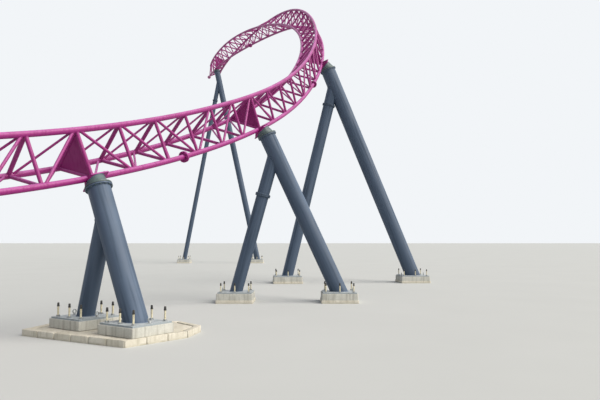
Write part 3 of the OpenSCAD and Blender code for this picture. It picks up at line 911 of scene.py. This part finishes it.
def rounded_outline(corners, radius, spacing):
    """Points round a polygon, with its corners rounded and its sides divided."""
    points = []
    count = len(corners)
    for k in range(count):
        here, before, after = (np.array(corners[(k + j) % count], float) for j in (0, -1, 1))
        to_before, to_after = unit(before - here), unit(after - here)
        for t in (0, 0.33, 0.67, 1):
            a, b, c = here + radius * to_before, here, here + radius * to_after
            points.append((1 - t) ** 2 * a + 2 * t * (1 - t) * b + t * t * c)
        start, end = points[-1], after + radius * unit(here - after)
        steps = max(1, int(np.linalg.norm(end - start) / spacing))
        points += [start + (end - start) * n / steps for n in range(1, steps)]
    return np.array(points)


def cast_block(mesh, corners, low, high, edge, spacing=0.045):
    """Block with a chipped top edge, inside its outline."""
    outline = rounded_outline(corners, CORNER_SHARE * edge, spacing)
    middle = outline.mean(axis=0)
    rings = []
    for inset, drop in BEVEL:
        ring = []
        for p in outline:
            bite = noise.noise(Vector((p[0] * CHIPS_PER_M, p[1] * CHIPS_PER_M, NOISE_LAYER)))
            chip = edge * max(1 + CHIP_SWING * bite, CHIP_LEAST)
            q = p + inset * chip * unit(middle - p)
            ring.append((q[0], q[1], low if drop is None else high - drop * chip))
        rings.append(np.array(ring))
    skin(mesh, rings)


def turned_square(at, side, turn):
    """Corners of a square at a foot, turned with the plane of the legs."""
    cos, sin = math.cos(turn), math.sin(turn)
    h = side / 2
    return [(at[0] + x * cos - y * sin, at[1] + x * sin + y * cos)
            for x, y in ((-h, -h), (h, -h), (h, h), (-h, h))]


# cool grey cement with pale lime bloom and brown-grey runs, on a slab that lifts it clear of the darker
# foot
grey_concrete = cast_concrete("board_cast_grey_concrete", "#C4C6C0", "#DADBD5", "#8A8980",
                              dark_foot_top=0.08, pit_mm=16)
for n, s in enumerate(supports, 1):
    plinths = ([], [])
    for foot in s.feet:
        corners = turned_square(foot, s.plinth, s.turn)
        cast_block(plinths, corners, s.slab, s.slab + s.plinth_h, PLINTH_EDGE)
    make_piece("cast_plinths_%d" % n, plinths, grey_concrete, ["plinths_%d" % n],
               crease=50)


# Slabs
# The first support stands on a slab that was poured inside a border of cream kerb stones, which are
# laid end to end with open joints. The other plinths each have a thin blinding slab of their own.
KERB_W = 0.120
KERB_L = 0.430
KERB_GAP = 0.008
KERB_EDGE = 0.009
# corners of the kerb's outline, from the left, against the clock
SLAB = [(-1.53, 0.09), (-0.80, -0.33), (0.60, -1.10), (1.39, -0.12), (1.50, 0.56), (1.00, 1.15),
        (-1.25, 1.25)]
# the poured slab starts inside the kerb and its top lies a little lower
FILL_INSET = 1.35 * KERB_W
FILL_DROP = 0.010
FILL_SPACING = 0.08
# the first and last stone of a side are cut back on the inside, where the next side begins
MITRE = 0.55 * KERB_W
# stones lie a little below the slab's height, each at its own, but never above it
STONE_DROP = 0.004
STONE_SWING = 0.006
STONE_MOST = 0.003
SMALL_RIM = 0.015
# cream cement of precast kerbs, warmer and finer than the plinths
cream_concrete = cast_concrete("cast_cream_kerb_concrete", "#D3CFC1", "#E7E4DA", "#A5A08C",
                               dark_foot_top=0.04, pit_mm=12)
slabs = ([], [])
middle = np.mean(SLAB, axis=0)
fill = [tuple(np.array(c) + FILL_INSET * unit(middle - c)) for c in SLAB]
cast_block(slabs, fill, 0.0, SLAB_H - FILL_DROP, KERB_EDGE, FILL_SPACING)
for k, corner in enumerate(SLAB):
    a, b = np.array(corner), np.array(SLAB[(k + 1) % len(SLAB)])
    along = unit(b - a)
    inward = np.array([-along[1], along[0]])
    length = np.linalg.norm(b - a)
    stones = max(1, round(length / KERB_L))
    for j in range(stones):
        start, end = length * j / stones, length * (j + 1) / stones - KERB_GAP
        cut_start = MITRE if j == 0 else 0
        cut_end = MITRE if j == stones - 1 else 0
        lift = min(STONE_SWING * noise.noise(Vector((7.1 * k, 3.3 * j, 1.9))), STONE_MOST)
        corners = [a + start * along, a + end * along, a + (end - cut_end) * along + KERB_W * inward,
                   a + (start + cut_start) * along + KERB_W * inward]
        cast_block(slabs, corners, 0.0, SLAB_H - STONE_DROP + lift, KERB_EDGE)
for s in supports[1:]:
    for foot in s.feet:
        corners = turned_square(foot, s.plinth + 2 * SMALL_RIM, s.turn)
        cast_block(slabs, corners, 0.0, SMALL_SLAB_H, KERB_EDGE)
make_piece("cast_slabs", slabs, cream_concrete, ["slabs"], crease=50)


# Floor and light
# A plain pale floor out to the horizon, and soft light from high on the right, as under thin cloud.
FLOOR = 300.0
SUN_STRENGTH = 3.8
SUN_RUNS = (-0.70, 0.25, -0.67)
SKY_STRENGTH = 0.34
FLOOR_CLOUD_MM = 2500

floor_data = bpy.data.meshes.new("floor")
floor_corners = [(-FLOOR, -FLOOR, 0), (FLOOR, -FLOOR, 0), (FLOOR, FLOOR, 0), (-FLOOR, FLOOR, 0)]
floor_data.from_pydata(floor_corners, [], [(0, 1, 2, 3)])
floor = bpy.data.objects.new("floor", floor_data)
scene.collection.objects.link(floor)
# matt floor paint, pale grey with faint cloudy patches some metres wide
floor_paint = blank_material("matt_floor_paint")
place = add(floor_paint, "ShaderNodeTexCoord").outputs["Object"]
cloud = add(floor_paint, "ShaderNodeTexNoise", {
    "Vector": place, "Scale": mm(FLOOR_CLOUD_MM)}).outputs["Fac"]
colour = add(floor_paint, "ShaderNodeMix", {0: cloud, 6: linear("#C4C8C9"), 7: linear("#CACECF")},
             data_type="RGBA").outputs[2]
finish_material(floor_paint, add(floor_paint, "ShaderNodeBsdfPrincipled", {
    "Base Color": colour, "Roughness": 0.9}))
floor_data.materials.append(floor_paint)

sun_data = bpy.data.lights.new("high_soft_sun", "SUN")
sun_data.energy = SUN_STRENGTH
sun_data.angle = math.radians(60)
sun_data.color = linear("#FFF6EA")[:3]
sun = bpy.data.objects.new("high_soft_sun", sun_data)
sun.rotation_euler = Vector(SUN_RUNS).to_track_quat("-Z", "Y").to_euler()
scene.collection.objects.link(sun)

# the camera sees a pale backdrop, also mirrored or through what is clear, and a dimmer sky lights the rest
world = bpy.data.worlds.new("pale_sky")
scene.world = world
world.use_nodes = True
world.node_tree.nodes.clear()
rays = add(world, "ShaderNodeLightPath").outputs
seen = add(world, "ShaderNodeMath", {0: rays["Is Camera Ray"], 1: rays["Is Transmission Ray"]},
           operation="MAXIMUM").outputs[0]
seen = add(world, "ShaderNodeMath", {0: seen, 1: rays["Is Glossy Ray"]}, operation="MAXIMUM").outputs[0]
sky = add(world, "ShaderNodeBackground", {"Color": linear("#EDF2F7"), "Strength": SKY_STRENGTH})
backdrop = add(world, "ShaderNodeBackground", {"Color": linear("#F2F5F8"), "Strength": 1.0})
shown = add(world, "ShaderNodeMixShader", {0: seen, 1: sky.outputs[0], 2: backdrop.outputs[0]})
add(world, "ShaderNodeOutputWorld", {"Surface": shown.outputs[0]})
scene.view_settings.view_transform = "Standard"
